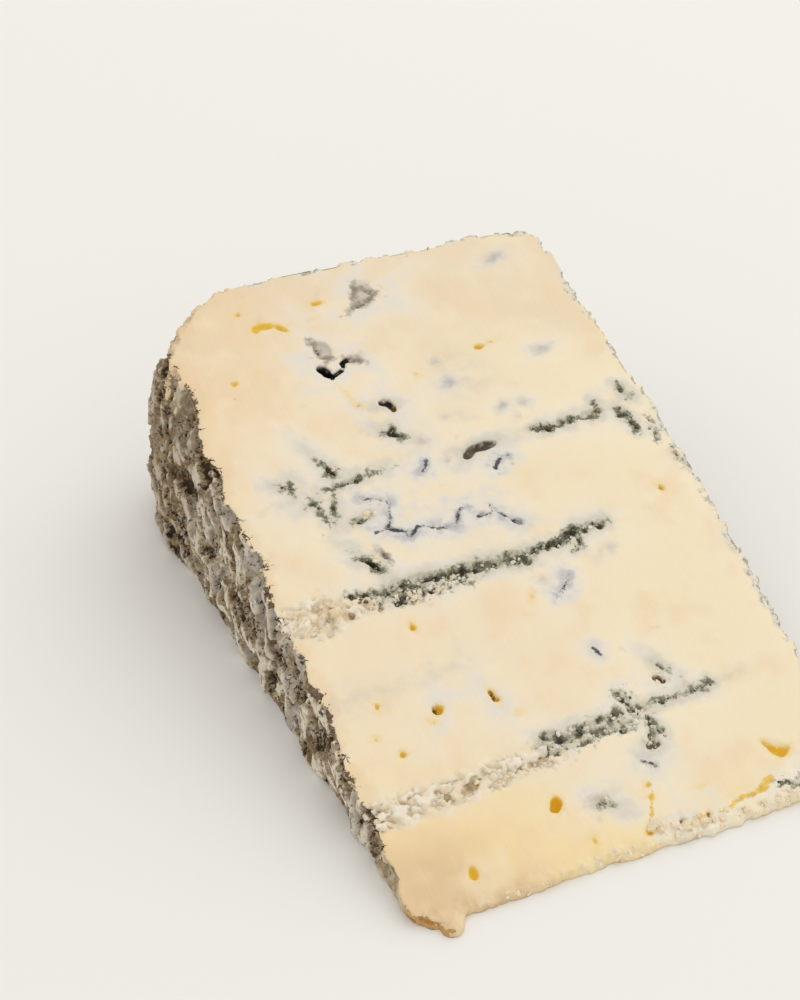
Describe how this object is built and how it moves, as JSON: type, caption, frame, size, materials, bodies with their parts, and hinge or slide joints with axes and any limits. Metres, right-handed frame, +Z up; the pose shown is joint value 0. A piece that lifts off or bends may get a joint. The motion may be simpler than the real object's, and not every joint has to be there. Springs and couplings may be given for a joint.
{
  "type": "blue cheese wedge",
  "caption": "Wedge of blue cheese lying on a cut face, with a craggy grey rind on its walls and rim, and open blue-green veins and small eyes in the sloping cut face above.",
  "frame": {"origin": "under the middle of the bounding box, on the surface that the wedge lies on", "axes": "+X along the wheel's axis from the widely rounded rind corner's side to the other side, +Y from the thin tip to the rim, +Z up out of the lower cut face"},
  "size_m": [0.0804, 0.1228, 0.0393],
  "materials": {
    "cheese": "moist cream paste with blue-green veins, dry grey rind"
  },
  "bodies": {
    "root": {"cheese_wedge": "cheese"}
  },
  "joints": []
}
